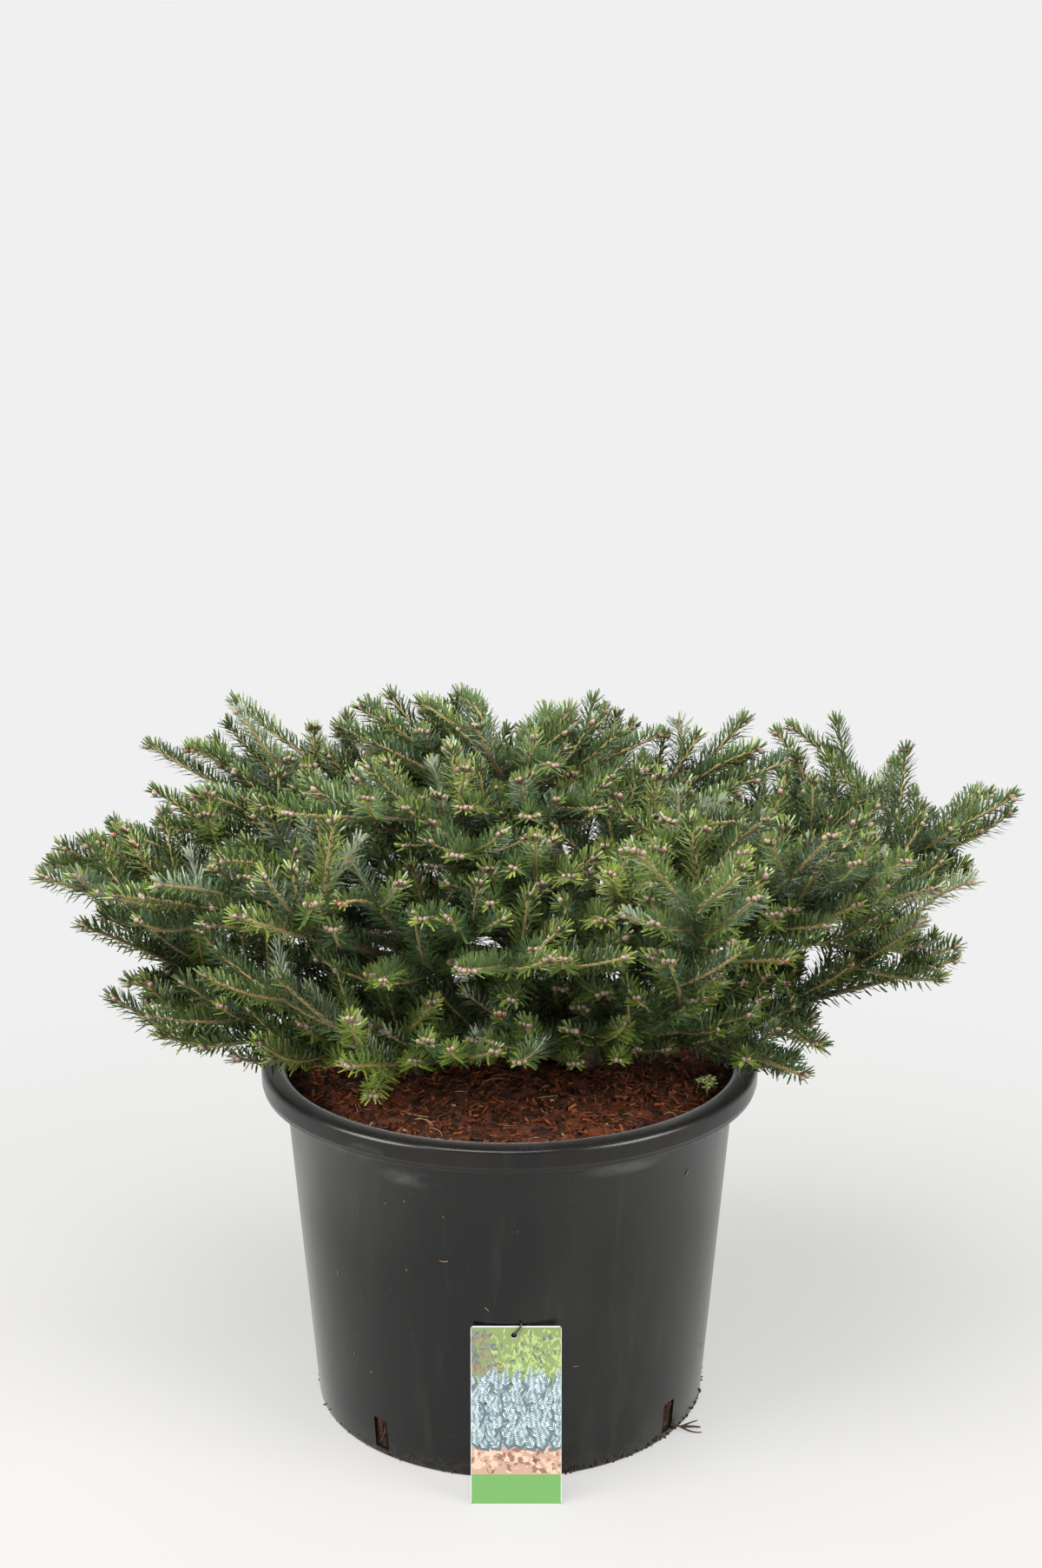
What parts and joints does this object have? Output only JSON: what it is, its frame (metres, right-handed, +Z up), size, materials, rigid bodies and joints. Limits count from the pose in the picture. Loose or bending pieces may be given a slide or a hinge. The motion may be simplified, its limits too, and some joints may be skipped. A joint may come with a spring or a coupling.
{
  "type": "potted korean fir",
  "caption": "Low spreading Korean fir with a short leaning trunk, upswept needled boughs and a round black nursery pot filled with potting soil, with a plant label leaning on the pot.",
  "frame": {"origin": "centre of the pot's flat underside, where it stands on the ground", "axes": "+Z up along the pot's axis, +X to the right along the widest spread of the crown, -Y towards the side where the label leans on the pot"},
  "size_m": [0.7486, 0.6102, 0.5432],
  "materials": {
    "pot_plastic": "satin black moulded plastic, lightly scuffed",
    "potting_soil": "loose bark and fibre potting mix",
    "label_card": null,
    "tie_plastic": "thin black plastic tie",
    "bark": "rough grey-brown bark, smoother and tan on young boughs",
    "fir_foliage": "glossy dark green needles with pale undersides"
  },
  "bodies": {
    "root": {"pot": "pot_plastic", "soil": "potting_soil", "label": "label_card", "label_tie": "tie_plastic", "trunk": "bark", "low_bough_1": "bark", "low_bough_2": "bark", "low_bough_3": "bark", "low_bough_4": "bark", "low_bough_5": "bark", "low_bough_6": "bark", "low_bough_7": "bark", "low_bough_8": "bark", "low_bough_9": "bark", "low_bough_10": "bark", "mid_bough_1": "bark", "mid_bough_2": "bark", "mid_bough_3": "bark", "mid_bough_4": "bark", "mid_bough_5": "bark", "mid_bough_6": "bark", "mid_bough_7": "bark", "mid_bough_8": "bark", "mid_bough_9": "bark", "mid_bough_10": "bark", "mid_bough_11": "bark", "top_bough_1": "bark", "top_bough_2": "bark", "top_bough_3": "bark", "top_bough_4": "bark", "low_foliage_1": "fir_foliage", "low_foliage_2": "fir_foliage", "low_foliage_3": "fir_foliage", "low_foliage_4": "fir_foliage", "low_foliage_5": "fir_foliage", "low_foliage_6": "fir_foliage", "low_foliage_7": "fir_foliage", "low_foliage_8": "fir_foliage", "low_foliage_9": "fir_foliage", "low_foliage_10": "fir_foliage", "mid_foliage_1": "fir_foliage", "mid_foliage_2": "fir_foliage", "mid_foliage_3": "fir_foliage", "mid_foliage_4": "fir_foliage", "mid_foliage_5": "fir_foliage", "mid_foliage_6": "fir_foliage", "mid_foliage_7": "fir_foliage", "mid_foliage_8": "fir_foliage", "mid_foliage_9": "fir_foliage", "mid_foliage_10": "fir_foliage", "mid_foliage_11": "fir_foliage", "top_foliage_1": "fir_foliage", "top_foliage_2": "fir_foliage", "top_foliage_3": "fir_foliage", "top_foliage_4": "fir_foliage", "crest_foliage_1": "fir_foliage", "crest_foliage_2": "fir_foliage", "crest_foliage_3": "fir_foliage"}
  },
  "joints": []
}
